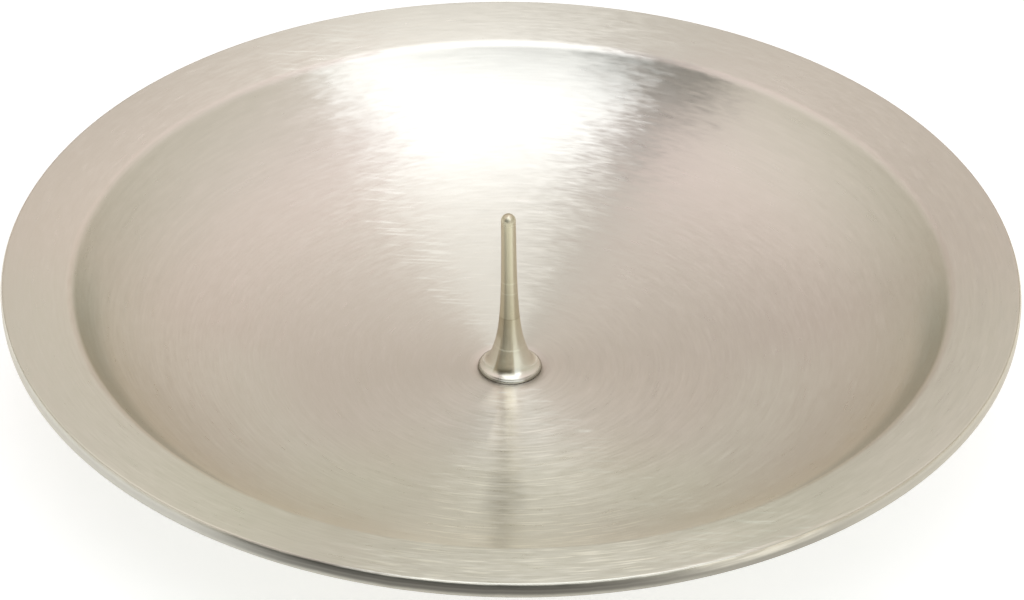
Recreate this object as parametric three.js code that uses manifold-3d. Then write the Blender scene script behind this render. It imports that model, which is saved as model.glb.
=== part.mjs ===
// Pricket candle holder: a spun metal dish with a turned spike for a pillar candle.
// Units are millimetres, +Z is up, and Z = 0 is the table under the foot pads.
import * as THREE from "three";
import { mergeVertices } from "three/addons/utils/BufferGeometryUtils.js";
import Module from "manifold-3d";

// Dish: spun from one disc of sheet metal
const overallDiameter = 140;
const sheetThickness = 1;
const bowlDepth = 15.2; // rim's edge down to the flat seat in the middle
const rimWidth = 9.3;
const rimRise = 1; // the rim climbs this much from the crease to its edge
const edgeBulge = 0.33; // the turned-down lip swells out past the rim's sharp edge
const lipDrop = 2.1;
const lipWidestDrop = 0.75; // depth of the lip's widest line below the rim's edge
const lipDraw = 0.12; // the lip draws in again towards its lower end
const floorRise = 6; // the gentle part of the bowl's climb, over its whole radius
const wallPower = 6; // how late the bowl turns up into its wall
const creaseRound = 0.6;
const seatMargin = 1.6; // the flat seat runs this far past the widest thing on it
const dishSides = 64;
const bowlSteps = 12;

// Pricket: turned, with a thin flange, a flared foot and a rounded point
const pricketHeight = 25.4;
const pricketTipRadius = 1;
const flangeRadius = 4.4;
const flangeThickness = 0.45;
const flareHeight = 3.2;
const flarePower = 0.8;
const pricketSides = 24;
const pricketSteps = 12;
const tipSteps = 4;

// Fixing: a pan-head screw from below, with a plain washer and a spring washer
const screwDiameter = 3;
const screwLength = 6;
const threadClearance = 0.1; // all round, in place of the thread
const holeClearance = 0.2; // all round the screw, in the dish
const washerClearance = 0.1; // all round the screw, in both washers
const washerBand = 1.9; // from the washer's bore to its outside
const washerThickness = 0.5;
const springWasherBand = 1.2;
const springWasherThickness = 0.8;
const springWasherSplit = 0.5;
const headOverhang = 1.3; // the head runs this far past the shank, all round
const headHeight = 1.9;
const headRound = 1.1;
const recessWidth = 0.7;
const recessSpan = 3;
const recessDepth = 1.1;
const tapRoom = 0.9; // thread left free past the screw's end
const drillPoint = 0.9;
const hardwareSides = 24;

// Foot pads: three soft discs glued under the bowl
const padCount = 3;
const padDiameter = 10;
const padCircleRadius = 28;
const padEdgeRound = 0.7;
const padGlueFilm = 0.3;
const padSides = 24;
const headToTable = 0.8; // room between the screw's head and the table

// Radii of the fixing, from the screw outwards
const screwRadius = screwDiameter / 2;
const headRadius = screwRadius + headOverhang;
const washerBore = screwRadius + washerClearance;
const washerRadius = washerBore + washerBand;
const springWasherRadius = washerBore + springWasherBand;
const seatRadius = Math.max(flangeRadius, washerRadius) + seatMargin;

// Heights, built up from the table
const headTop = headToTable + headHeight;
const springWasherTop = headTop + springWasherThickness;
const seatUnderside = springWasherTop + washerThickness;
const seatTop = seatUnderside + sheetThickness;
const edgeHeight = seatTop + bowlDepth;
const creaseHeight = edgeHeight - rimRise;
const screwTop = headTop + screwLength;

// Radii, worked in from the widest point
const widestRadius = overallDiameter / 2;
const edgeRadius = widestRadius - edgeBulge;
const creaseRadius = edgeRadius - rimWidth;
const lipRadius = widestRadius - lipDraw;
const wallRise = creaseHeight - seatTop - floorRise;

const finishes = {
  brushedNickel: new THREE.MeshStandardMaterial({ color: 0xcbc3b6, roughness: 0.38, metalness: 1 }),
  polishedNickel: new THREE.MeshStandardMaterial({ color: 0xcfc4a8, roughness: 0.18, metalness: 1 }),
  zincSteel: new THREE.MeshStandardMaterial({ color: 0xb4b6b8, roughness: 0.35, metalness: 1 }),
  padRubber: new THREE.MeshStandardMaterial({ color: 0x3b3a38, roughness: 0.9, metalness: 0 }),
};

const wasm = await Module();
wasm.setup();

const object = new THREE.Group();

function addPiece(name, geometry, material) {
  const mesh = new THREE.Mesh(geometry, material);
  mesh.name = name;
  object.add(mesh);
  return mesh;
}

// Turns an outline of [radius, height] points about the Z axis.
function turned(outline, sides) {
  const points = outline.map(([radius, height]) => new THREE.Vector2(radius, height));
  const geometry = new THREE.LatheGeometry(points, sides);
  geometry.rotateX(Math.PI / 2);
  return geometry;
}

// Turns a closed ring outline: its last point meets its first.
function turnedRing(outline, sides) {
  return turned([...outline, outline[0]], sides);
}

function toSolid(geometry) {
  const bare = geometry.clone();
  bare.deleteAttribute("normal");
  bare.deleteAttribute("uv");
  const merged = mergeVertices(bare, 1e-5);
  return new wasm.Manifold(new wasm.Mesh({
    numProp: 3,
    vertProperties: new Float32Array(merged.attributes.position.array),
    triVerts: new Uint32Array(merged.index.array),
  }));
}

function toGeometry(solid) {
  const mesh = solid.getMesh();
  const geometry = new THREE.BufferGeometry();
  geometry.setAttribute("position", new THREE.BufferAttribute(mesh.vertProperties, 3));
  geometry.setIndex(new THREE.BufferAttribute(mesh.triVerts, 1));
  return geometry;
}

// Height of the bowl's upper face at a radius: flat at the seat, gentle, then a steep wall.
function bowlHeight(radius) {
  const share = Math.max(0, (radius - seatRadius) / (creaseRadius - seatRadius));
  return seatTop + floorRise * share ** 2 + wallRise * share ** wallPower;
}

function bowlSlope(radius) {
  const span = creaseRadius - seatRadius;
  const share = Math.max(0, (radius - seatRadius) / span);
  return (2 * floorRise * share + wallPower * wallRise * share ** (wallPower - 1)) / span;
}

// The point a sheet's thickness below the bowl's upper face, square to it.
function belowBowl(radius) {
  const slope = bowlSlope(radius);
  const length = Math.hypot(1, slope);
  const outward = (sheetThickness * slope) / length;
  const downward = sheetThickness / length;
  return [radius + outward, bowlHeight(radius) - downward];
}

// Height of the bowl's underside over a point at this radius, for what is fixed there.
function undersideHeight(radius) {
  return bowlHeight(radius) - sheetThickness * Math.hypot(1, bowlSlope(radius));
}

function makeDish() {
  const rimSlope = rimRise / rimWidth;
  const rimAngle = Math.atan(rimSlope);
  const wallAngle = Math.atan(bowlSlope(creaseRadius));

  // Bowl radii from the seat out, stopping short of the rounded crease
  const wallEnd = creaseRadius - creaseRound * Math.cos(wallAngle);
  const radii = [];
  for (let step = 0; step <= bowlSteps; step += 1) {
    radii.push(seatRadius + ((wallEnd - seatRadius) * step) / bowlSteps);
  }

  // Crease: a short curve from the wall over to the rim
  const crease = new THREE.QuadraticBezierCurve(
    new THREE.Vector2(wallEnd, bowlHeight(wallEnd)),
    new THREE.Vector2(creaseRadius, creaseHeight),
    new THREE.Vector2(creaseRadius + creaseRound, creaseHeight + creaseRound * rimSlope),
  );
  const creasePoints = crease.getPoints(3).slice(1).map((point) => [point.x, point.y]);

  // Lip: it swells out below the rim's sharp edge, then draws in to the cut end of the sheet
  const lipPoints = [];
  for (let step = 0; step <= 2; step += 1) {
    const share = 1 - step / 2;
    lipPoints.push([widestRadius - edgeBulge * share ** 2, edgeHeight - lipWidestDrop * (1 - share)]);
  }
  for (let step = 1; step <= 2; step += 1) {
    const share = step / 2;
    const drop = lipWidestDrop + (lipDrop - lipWidestDrop) * share;
    lipPoints.push([widestRadius - lipDraw * share ** 2, edgeHeight - drop]);
  }

  // Underside of the rim: parallel to its top, up to the inside of the lip
  const lipInside = lipRadius - sheetThickness;
  const rimUnderside = (radius) =>
    creaseHeight + (radius - creaseRadius) * rimSlope - sheetThickness / Math.cos(rimAngle);

  // Inner corner under the crease, where the two undersides meet
  const halfTurn = (wallAngle - rimAngle) / 2;
  const mitre = sheetThickness / Math.cos(halfTurn);
  const mitreAngle = rimAngle + halfTurn;
  const corner = [
    creaseRadius + mitre * Math.sin(mitreAngle),
    creaseHeight - mitre * Math.cos(mitreAngle),
  ];
  const under = radii.map(belowBowl).filter(([radius]) => radius < corner[0] - creaseRound);

  const holeRadius = screwRadius + holeClearance;
  const upper = [[holeRadius, seatTop], ...radii.map((radius) => [radius, bowlHeight(radius)])];
  const outline = [
    [holeRadius, seatUnderside],
    ...under,
    corner,
    [lipInside, rimUnderside(lipInside)],
    [lipInside, edgeHeight - lipDrop],
    ...lipPoints.reverse(),
    ...creasePoints.reverse(),
    ...upper.reverse(),
  ];
  return turnedRing(outline, dishSides);
}

// Radius of the pricket at a height above its base.
function pricketRadius(height) {
  const climb = Math.max(0, (height - flangeThickness) / flareHeight);
  return pricketTipRadius + (flangeRadius - pricketTipRadius) * Math.exp(-(climb ** flarePower));
}

function makePricket() {
  const tapRadius = screwRadius + threadClearance;
  const tapTop = screwTop + tapRoom;
  const shoulder = pricketHeight - pricketTipRadius;
  const outline = [
    [0, tapTop + drillPoint],
    [tapRadius, tapTop],
    [tapRadius, seatTop],
    [flangeRadius, seatTop],
  ];
  for (let step = 0; step <= pricketSteps; step += 1) {
    const height = flangeThickness + (shoulder - flangeThickness) * (step / pricketSteps) ** 2;
    outline.push([pricketRadius(height), seatTop + height]);
  }
  for (let step = 1; step <= tipSteps; step += 1) {
    const angle = (Math.PI / 2) * (step / tipSteps);
    const radius = step === tipSteps ? 0 : pricketRadius(shoulder) * Math.cos(angle);
    outline.push([radius, seatTop + shoulder + pricketTipRadius * Math.sin(angle)]);
  }
  return turned(outline, pricketSides);
}

function makeWasher() {
  return turnedRing([
    [washerBore, springWasherTop],
    [washerRadius, springWasherTop],
    [washerRadius, seatUnderside],
    [washerBore, seatUnderside],
  ], hardwareSides);
}

// A flat-pressed split ring, cut open on one side.
function makeSpringWasher() {
  const outerStart = Math.asin(springWasherSplit / 2 / springWasherRadius);
  const innerStart = Math.asin(springWasherSplit / 2 / washerBore);
  const shape = new THREE.Shape();
  shape.absarc(0, 0, springWasherRadius, outerStart, 2 * Math.PI - outerStart, false);
  shape.absarc(0, 0, washerBore, 2 * Math.PI - innerStart, innerStart, true);
  shape.closePath();
  const geometry = new THREE.ExtrudeGeometry(shape, {
    depth: springWasherThickness,
    bevelEnabled: false,
    curveSegments: hardwareSides,
  });
  geometry.translate(0, 0, headTop);
  return geometry;
}

function makeScrew() {
  const round = new THREE.QuadraticBezierCurve(
    new THREE.Vector2(headRadius - headRound, headToTable),
    new THREE.Vector2(headRadius, headToTable),
    new THREE.Vector2(headRadius, headToTable + headRound),
  );
  const body = turned([
    [0, headToTable],
    ...round.getPoints(4).map((point) => [point.x, point.y]),
    [headRadius, headTop],
    [screwRadius, headTop],
    [screwRadius, screwTop],
    [0, screwTop],
  ], hardwareSides);

  // Cross recess, cut up into the head from below
  let screw = toSolid(body);
  for (const [spanX, spanY] of [[recessSpan, recessWidth], [recessWidth, recessSpan]]) {
    const bar = new THREE.BoxGeometry(spanX, spanY, 2 * recessDepth);
    bar.translate(0, 0, headToTable);
    screw = screw.subtract(toSolid(bar));
  }
  return toGeometry(screw);
}

// A soft disc with a rounded lower edge, whose top follows the bowl a glue film below it.
function makePad(index) {
  const angle = Math.PI / 2 + (2 * Math.PI * index) / padCount;
  const centreX = padCircleRadius * Math.cos(angle);
  const centreY = padCircleRadius * Math.sin(angle);
  const padRadius = padDiameter / 2;
  const topMark = edgeHeight;
  const geometry = turned([
    [0, 0],
    [padRadius - padEdgeRound, 0],
    [padRadius, padEdgeRound],
    [padRadius, topMark],
    [padRadius / 2, topMark],
    [0, topMark],
  ], padSides);
  geometry.translate(centreX, centreY, 0);
  const position = geometry.attributes.position;
  for (let vertex = 0; vertex < position.count; vertex += 1) {
    if (position.getZ(vertex) > topMark - padEdgeRound) {
      const radius = Math.hypot(position.getX(vertex), position.getY(vertex));
      position.setZ(vertex, undersideHeight(radius) - padGlueFilm);
    }
  }
  return geometry;
}

addPiece("dish", makeDish(), finishes.brushedNickel);
addPiece("pricket", makePricket(), finishes.polishedNickel);
addPiece("flat_washer", makeWasher(), finishes.zincSteel);
addPiece("spring_washer", makeSpringWasher(), finishes.zincSteel);
addPiece("fixing_screw", makeScrew(), finishes.zincSteel);
for (let index = 0; index < padCount; index += 1) {
  addPiece(`foot_pad_${index + 1}`, makePad(index), finishes.padRubber);
}

export default object;
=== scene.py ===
# %% [markdown]
# # A pricket candle holder in brushed nickel
#
# The object is a round plate for one pillar candle. A disc of sheet metal is spun into a
# shallow bowl with a broad rim, and a turned spike, the pricket, stands in the middle.
# Underneath, a screw with two washers holds the spike, and three soft pads keep the screw's
# head off the table.
#
# The solids come from the frame and stay where they are. Here every piece is made again with
# a finer surface, in metres, in the same place, and each gets the finish of the real one.

# %% The frame
import math

import bmesh
import bpy
from mathutils import Matrix, Vector


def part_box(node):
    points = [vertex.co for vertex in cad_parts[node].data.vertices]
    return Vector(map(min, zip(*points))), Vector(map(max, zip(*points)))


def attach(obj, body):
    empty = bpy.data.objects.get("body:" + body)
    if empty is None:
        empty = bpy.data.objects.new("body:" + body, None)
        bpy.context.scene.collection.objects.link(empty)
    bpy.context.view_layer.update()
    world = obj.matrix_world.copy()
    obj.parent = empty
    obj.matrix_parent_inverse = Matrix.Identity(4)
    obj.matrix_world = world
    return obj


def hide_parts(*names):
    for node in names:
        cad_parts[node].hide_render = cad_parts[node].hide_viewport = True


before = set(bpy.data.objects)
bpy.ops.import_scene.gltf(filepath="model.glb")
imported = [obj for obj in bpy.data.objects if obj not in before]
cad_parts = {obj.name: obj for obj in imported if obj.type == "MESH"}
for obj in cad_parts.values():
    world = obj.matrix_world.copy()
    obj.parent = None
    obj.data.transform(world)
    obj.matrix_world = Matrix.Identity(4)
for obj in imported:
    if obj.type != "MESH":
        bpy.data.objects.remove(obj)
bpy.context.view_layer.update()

# %% [markdown]
# All the driving sizes are read from the solids' boxes, so that the fine pieces sit exactly
# where the plain ones do. A turned object needs only radii and heights.

# %% Sizes read from the solids
MM = 0.001
dish_low, dish_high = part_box("dish")
pricket_low, pricket_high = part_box("pricket")
screw_low, screw_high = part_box("fixing_screw")
washer_low, washer_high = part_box("flat_washer")
spring_low, spring_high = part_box("spring_washer")

widest_radius = dish_high.x
seat_underside = dish_low.z
edge_height = dish_high.z
seat_top = pricket_low.z
sheet = seat_top - seat_underside
print(f"dish {2000 * widest_radius:.1f} mm across, edge at {1000 * edge_height:.2f} mm")
print(f"sheet {1000 * sheet:.2f} mm thick")

# %% [markdown]
# The camera comes first, because every later choice is judged through it. The photograph
# looks down on the plate at about 35 degrees from roughly a metre away, with the picture
# turned by less than a degree. The plate fills the whole width of the frame, so the lens is
# worked out from how many pixels the rim's edge takes.

# %% Camera
FRAME_WIDTH = 1024  # pixels of the photograph's width
EDGE_RADIUS_PX = 507.6  # the rim's sharp edge, in the photograph
EDGE_CENTRE_PX = (510.9, 275.9)  # where its centre lands
FRAME_CENTRE_PX = (512.0, 300.0)
CAMERA_DISTANCE_PX = 7270.12  # a long lens: about 14 times the rim's radius away
SENSOR_WIDTH = 36
NEAREST, FURTHEST = 0.05, 20  # what the camera sees, in metres from it
VIEW_ELEVATION = math.radians(35.05)
VIEW_ROLL = math.radians(0.8)
EDGE_BULGE = 0.33 * MM  # how far the lip stands out past the sharp edge
edge_radius = widest_radius - EDGE_BULGE
metres_per_pixel = edge_radius / EDGE_RADIUS_PX
camera_distance = CAMERA_DISTANCE_PX * metres_per_pixel

camera_data = bpy.data.cameras.new("camera")
camera_data.sensor_width = SENSOR_WIDTH
camera_data.lens = camera_data.sensor_width * camera_distance / (FRAME_WIDTH * metres_per_pixel)
camera_data.clip_start, camera_data.clip_end = NEAREST, FURTHEST
camera = bpy.data.objects.new("camera", camera_data)
bpy.context.scene.collection.objects.link(camera)
bpy.context.scene.camera = camera

backward = Vector((0, -math.cos(VIEW_ELEVATION), math.sin(VIEW_ELEVATION)))
upward = Vector((0, math.sin(VIEW_ELEVATION), math.cos(VIEW_ELEVATION)))
right = Vector((1, 0, 0))
offset_right = (FRAME_CENTRE_PX[0] - EDGE_CENTRE_PX[0]) * metres_per_pixel
offset_down = (FRAME_CENTRE_PX[1] - EDGE_CENTRE_PX[1]) * metres_per_pixel
looked_at = Vector((0, 0, edge_height)) + right * offset_right - upward * offset_down
turn = Matrix((right, upward, backward)).transposed() @ Matrix.Rotation(VIEW_ROLL, 3, "Z")
camera.matrix_world = Matrix.Translation(looked_at + backward * camera_distance) @ turn.to_4x4()
print(f"camera {camera_distance:.3f} m away, lens {camera_data.lens:.1f} mm")

# %% [markdown]
# Almost every piece here is turned or spun round the middle, as on a lathe. One helper does
# it: a few vertices make the outline, and Spin carries it round. The seam and the poles are
# merged afterwards, and the normals are recalculated, because Spin can leave them inwards.

# %% Helpers: link a mesh, spin an outline
SAME_PLACE = 1e-7  # vertices that lie closer, in metres, become one


def add_piece(name, bm, node):
    """Makes an object of the bmesh, standing for one solid of the frame."""
    mesh = bpy.data.meshes.new(name)
    bm.to_mesh(mesh)
    bm.free()
    piece = bpy.data.objects.new(name, mesh)
    bpy.context.scene.collection.objects.link(piece)
    mesh.shade_smooth()
    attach(piece, "root")
    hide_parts(node)
    print(f"{name}: {len(mesh.polygons)} faces")
    return piece


def spun(outline, steps, closed=False):
    """Spins an outline of (radius, height) points in metres round the Z axis."""
    bm = bmesh.new()
    points = [bm.verts.new((radius, 0, height)) for radius, height in outline]
    edges = [bm.edges.new(pair) for pair in zip(points, points[1:])]
    if closed:
        edges.append(bm.edges.new((points[-1], points[0])))
    bmesh.ops.spin(
        bm, geom=points + edges, cent=(0, 0, 0), axis=(0, 0, 1),
        angle=2 * math.pi, steps=steps, use_merge=True,
    )
    bmesh.ops.remove_doubles(bm, verts=bm.verts[:], dist=SAME_PLACE)
    bmesh.ops.recalc_face_normals(bm, faces=bm.faces[:])
    return bm


def arc(centre, radius, start, end, steps):
    """Points of a round corner in the outline's plane, in degrees from outwards, up positive."""
    points = []
    for step in range(steps + 1):
        angle = math.radians(start + (end - start) * step / steps)
        points.append((centre[0] + radius * math.cos(angle), centre[1] + radius * math.sin(angle)))
    return points


def curve(start, corner, end, steps):
    """Points of a soft corner, from start towards corner and on to end."""
    points = []
    for step in range(steps + 1):
        share = step / steps
        points.append(tuple(
            (1 - share) ** 2 * a + 2 * share * (1 - share) * b + share**2 * c
            for a, b, c in zip(start, corner, end)
        ))
    return points


# %% [markdown]
# The dish is one sheet. Its upper face is flat under the spike, climbs gently, and turns up
# into a steep wall that ends in a soft crease; the rim rises a little from there to a crisp
# outer edge, and the lip is turned down behind it. The underside is the same outline a
# sheet's thickness away. A formula gives the bowl, since a spun curve has no corners, and
# the small radii are what catch the light, so they get the most points.

# %% The dish's bowl and crease
RIM_WIDTH = 9.3 * MM
RIM_RISE = 1.0 * MM
FLOOR_RISE = 6.0 * MM  # what the gentle part climbs; the wall climbs the rest
WALL_POWER = 6  # the higher, the later and steeper the wall turns up
SEAT_RADIUS = 6.0 * MM
CREASE_ROUND = 0.85 * MM
BOWL_POINTS = 64
CREASE_POINTS = 8

crease_radius = edge_radius - RIM_WIDTH
crease_height = edge_height - RIM_RISE
wall_rise = crease_height - seat_top - FLOOR_RISE
rim_slope = RIM_RISE / RIM_WIDTH


def bowl_height(radius):
    share = max(0.0, (radius - SEAT_RADIUS) / (crease_radius - SEAT_RADIUS))
    return seat_top + FLOOR_RISE * share**2 + wall_rise * share**WALL_POWER


def bowl_slope(radius):
    span = crease_radius - SEAT_RADIUS
    share = max(0.0, (radius - SEAT_RADIUS) / span)
    return (2 * FLOOR_RISE * share + WALL_POWER * wall_rise * share ** (WALL_POWER - 1)) / span


wall_angle = math.atan(bowl_slope(crease_radius))
rim_angle = math.atan(rim_slope)
wall_end = crease_radius - CREASE_ROUND * math.cos(wall_angle)
bowl_radii = [
    SEAT_RADIUS + (wall_end - SEAT_RADIUS) * math.sin(math.pi / 2 * step / BOWL_POINTS)
    for step in range(BOWL_POINTS + 1)
]
crease = curve(
    (wall_end, bowl_height(wall_end)),
    (crease_radius, crease_height),
    (crease_radius + CREASE_ROUND, crease_height + CREASE_ROUND * rim_slope),
    CREASE_POINTS,
)
print(f"crease: wall {math.degrees(wall_angle):.1f} degrees, rim {math.degrees(rim_angle):.1f} degrees")

# %% The dish's edge and lip
EDGE_ROUND = 0.16 * MM
LIP_DROP = 2.1 * MM
LIP_WIDEST_DROP = 0.75 * MM  # where below the edge the lip stands out furthest
LIP_DRAW = 0.12 * MM  # how far it is drawn in again at its bottom
LIP_POINTS = 8
CORNER_POINTS = 4

edge_corner = curve(
    (edge_radius - EDGE_ROUND, edge_height - EDGE_ROUND * rim_slope),
    (edge_radius, edge_height),
    (edge_radius + EDGE_ROUND * 0.5, edge_height - EDGE_ROUND),
    CORNER_POINTS,
)
lip = []
for step in range(1, LIP_POINTS + 1):
    share = 1 - step / LIP_POINTS
    lip.append((widest_radius - EDGE_BULGE * share**2, edge_height - LIP_WIDEST_DROP * (1 - share)))
for step in range(1, LIP_POINTS + 1):
    share = step / LIP_POINTS
    drop = LIP_WIDEST_DROP + (LIP_DROP - LIP_WIDEST_DROP) * share
    lip.append((widest_radius - LIP_DRAW * share**2, edge_height - drop))
print(f"lip {1000 * LIP_DROP:.1f} mm deep, {len(lip)} points")

# %% The dish's underside
LIP_INNER_ROUND = 0.3 * MM
lip_inside = widest_radius - LIP_DRAW - sheet
rim_drop = sheet / math.cos(rim_angle)
half_turn = (wall_angle - rim_angle) / 2
mitre = sheet / math.cos(half_turn)
inner_corner = (
    crease_radius + mitre * math.sin(rim_angle + half_turn),
    crease_height - mitre * math.cos(rim_angle + half_turn),
)


def below_bowl(radius):
    slope = bowl_slope(radius)
    length = math.hypot(1, slope)
    return (radius + sheet * slope / length, bowl_height(radius) - sheet / length)


def rim_underside(radius):
    return crease_height + (radius - crease_radius) * rim_slope - rim_drop


lip_corner = curve(
    (lip_inside - LIP_INNER_ROUND, rim_underside(lip_inside - LIP_INNER_ROUND)),
    (lip_inside, rim_underside(lip_inside)),
    (lip_inside, rim_underside(lip_inside) - LIP_INNER_ROUND),
    CORNER_POINTS,
)
underside = [point for point in map(below_bowl, bowl_radii) if point[0] < inner_corner[0] - CREASE_ROUND]
print(f"underside: {len(underside)} points, its corner at a radius of {1000 * inner_corner[0]:.1f} mm")

# %% The dish
HOLE_RADIUS = 1.7 * MM
DISH_STEPS = 288  # flat faces round the rim
dish_outline = [(HOLE_RADIUS, seat_top)]
dish_outline += [(radius, bowl_height(radius)) for radius in bowl_radii[:-1]]
dish_outline += crease
dish_outline += edge_corner + lip
dish_outline += [(lip_inside, edge_height - LIP_DROP)] + lip_corner[::-1]
dish_outline += [(inner_corner[0] + CREASE_ROUND, rim_underside(inner_corner[0] + CREASE_ROUND))]
dish_outline += underside[::-1] + [(HOLE_RADIUS, seat_underside)]
print(f"dish outline: {len(dish_outline)} points")
dish = add_piece("dish_spun", spun(dish_outline, DISH_STEPS, closed=True), "dish")

# %% [markdown]
# The pricket is turned from bar. Its foot flares out like a trumpet into a thin flange, so a
# falling power of e gives the outline: quick near the flange, slow up the stem. The tip is a
# half round, so that it parts the wax without tearing it. As in the photograph, the finished
# spike leans a little to the left.

# %% The pricket
PRICKET_TIP_RADIUS = 1.0 * MM
FLANGE_RADIUS = pricket_high.x
FLANGE_THICKNESS = 0.45 * MM
FLANGE_ROUND = 0.12 * MM
FLANGE_TOP_ROUND = 0.30 * MM
FLARE_HEIGHT = 3.2 * MM
FLARE_POWER = 0.8
FLANGE_STEP = 0.9 * MM  # draws the foot in, just above the flange
FLANGE_STEP_HEIGHT = 0.5 * MM
LEAN = math.tan(math.radians(1.2))
STEM_POINTS = 60
PRICKET_STEPS = 96
pricket_height = pricket_high.z - pricket_low.z


def pricket_radius(height):
    climb = max(0.0, height - FLANGE_THICKNESS)
    flare = (FLANGE_RADIUS - PRICKET_TIP_RADIUS) * math.exp(-((climb / FLARE_HEIGHT) ** FLARE_POWER))
    step_in = FLANGE_STEP * (climb / FLANGE_STEP_HEIGHT) * math.exp(-climb / FLANGE_STEP_HEIGHT)
    return PRICKET_TIP_RADIUS + flare - step_in


tip_radius = pricket_radius(pricket_height - PRICKET_TIP_RADIUS)
shoulder = pricket_height - tip_radius
pricket_outline = [(0, seat_top), (FLANGE_RADIUS - FLANGE_ROUND, seat_top)]
pricket_outline += arc((FLANGE_RADIUS - FLANGE_ROUND, seat_top + FLANGE_ROUND), FLANGE_ROUND, -90, 0, 4)
pricket_outline += arc(
    (FLANGE_RADIUS - FLANGE_TOP_ROUND, seat_top + FLANGE_THICKNESS - FLANGE_TOP_ROUND),
    FLANGE_TOP_ROUND, 0, 75, 6,
)
for step in range(1, STEM_POINTS + 1):
    height = FLANGE_THICKNESS + (shoulder - FLANGE_THICKNESS) * (step / STEM_POINTS) ** 2
    radius = min(pricket_radius(height), FLANGE_RADIUS - FLANGE_TOP_ROUND)
    pricket_outline.append((radius, seat_top + height))
tip = arc((0, seat_top + shoulder), tip_radius, 0, 90, 12)[1:]
pricket_outline += tip[:-1] + [(0, tip[-1][1])]
pricket_bm = spun(pricket_outline, PRICKET_STEPS)
for vert in pricket_bm.verts:
    vert.co.x -= LEAN * max(0.0, vert.co.z - seat_top - 2 * FLANGE_THICKNESS)
pricket = add_piece("pricket_turned", pricket_bm, "pricket")

# %% [markdown]
# Three small pieces hold the spike, and only the underside shows them. A pan-head screw comes
# up from below into the spike's tapped foot, with a spring washer so that it doesn't work
# loose, and a flat washer that spreads its grip on the thin sheet. The thread is drawn as
# rings here, since washers and sheet hide it and a ring looks the same as a helix from the
# side. The head's cross recess is cut with a Boolean, as a punch makes it.

# %% The fixing screw
SCREW_RADIUS = 1.5 * MM
THREAD_PITCH = 0.5 * MM
THREAD_DEPTH = 0.27 * MM
HEAD_HEIGHT = 1.9 * MM
HEAD_ROUND = 1.1 * MM
HEAD_BEVEL = 0.1 * MM
SCREW_STEPS = 64
SHARP_FROM = math.radians(35)  # edges that turn by more stay sharp in the shading
head_bottom, head_top = screw_low.z, screw_low.z + HEAD_HEIGHT
head_radius = screw_high.x
screw_outline = [(0, head_bottom)]
screw_outline += arc((head_radius - HEAD_ROUND, head_bottom + HEAD_ROUND), HEAD_ROUND, -90, 0, 10)
screw_outline += [
    (head_radius, head_top - HEAD_BEVEL), (head_radius - HEAD_BEVEL, head_top), (SCREW_RADIUS, head_top),
]
height = head_top + THREAD_PITCH
while height < screw_high.z - THREAD_PITCH:
    screw_outline += [(SCREW_RADIUS, height), (SCREW_RADIUS - THREAD_DEPTH, height + THREAD_PITCH / 2)]
    height += THREAD_PITCH
screw_outline += [(SCREW_RADIUS - THREAD_DEPTH, screw_high.z), (0, screw_high.z)]
screw_bm = spun(screw_outline, SCREW_STEPS)
print(f"screw outline: {len(screw_outline)} points")

# %% The screw's cross recess
RECESS_SPAN = 3.0 * MM
RECESS_WIDTH = 0.7 * MM
RECESS_DEPTH = 1.1 * MM
RECESS_TAPER = (0.55, 0.7, 1)  # what is left of a bar along x and y, deep in the head


def recess_bar(along_x, along_y):
    """One bar of the cross recess, narrower at its bottom, as a closed mesh."""
    bar_bm = bmesh.new()
    bmesh.ops.create_cube(bar_bm, size=1)
    bmesh.ops.scale(bar_bm, vec=(along_x, along_y, 2 * RECESS_DEPTH), verts=bar_bm.verts[:])
    inner = [vert for vert in bar_bm.verts if vert.co.z > 0]
    bmesh.ops.scale(bar_bm, vec=RECESS_TAPER, verts=inner)
    bmesh.ops.translate(bar_bm, vec=(0, 0, head_bottom), verts=bar_bm.verts[:])
    mesh = bpy.data.meshes.new("recess_bar")
    bar_bm.to_mesh(mesh)
    bar_bm.free()
    bar = bpy.data.objects.new("recess_bar", mesh)
    bpy.context.scene.collection.objects.link(bar)
    return bar


def cut(bm, cutters):
    """Takes the cutters' shapes out of a bmesh with Boolean modifiers."""
    mesh = bpy.data.meshes.new("uncut")
    bm.to_mesh(mesh)
    bm.free()
    blank = bpy.data.objects.new("uncut", mesh)
    bpy.context.scene.collection.objects.link(blank)
    for cutter in cutters:
        boolean = blank.modifiers.new("cut", "BOOLEAN")
        boolean.operation = "DIFFERENCE"
        boolean.object = cutter
    bpy.context.view_layer.update()
    finished = blank.evaluated_get(bpy.context.evaluated_depsgraph_get())
    bm = bmesh.new()
    bm.from_mesh(finished.to_mesh())
    finished.to_mesh_clear()
    for item in [blank, *cutters]:
        bpy.data.objects.remove(item)
    return bm


screw_bm = cut(screw_bm, [recess_bar(RECESS_SPAN, RECESS_WIDTH), recess_bar(RECESS_WIDTH, RECESS_SPAN)])
screw = add_piece("screw_pan_head", screw_bm, "fixing_screw")
screw.data.set_sharp_from_angle(angle=SHARP_FROM)

# %% The flat washer
WASHER_ROUND = 0.08 * MM
WASHER_PLAY = 0.1 * MM
WASHER_STEPS = 96
washer_hole = SCREW_RADIUS + WASHER_PLAY


def ring_outline(inner, outer, low, high, rounding):
    """The section of a flat ring with rounded edges, anticlockwise from its inner lower edge."""
    points = arc((inner + rounding, low + rounding), rounding, 180, 270, 3)
    points += arc((outer - rounding, low + rounding), rounding, 270, 360, 3)
    points += arc((outer - rounding, high - rounding), rounding, 0, 90, 3)
    return points + arc((inner + rounding, high - rounding), rounding, 90, 180, 3)


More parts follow.
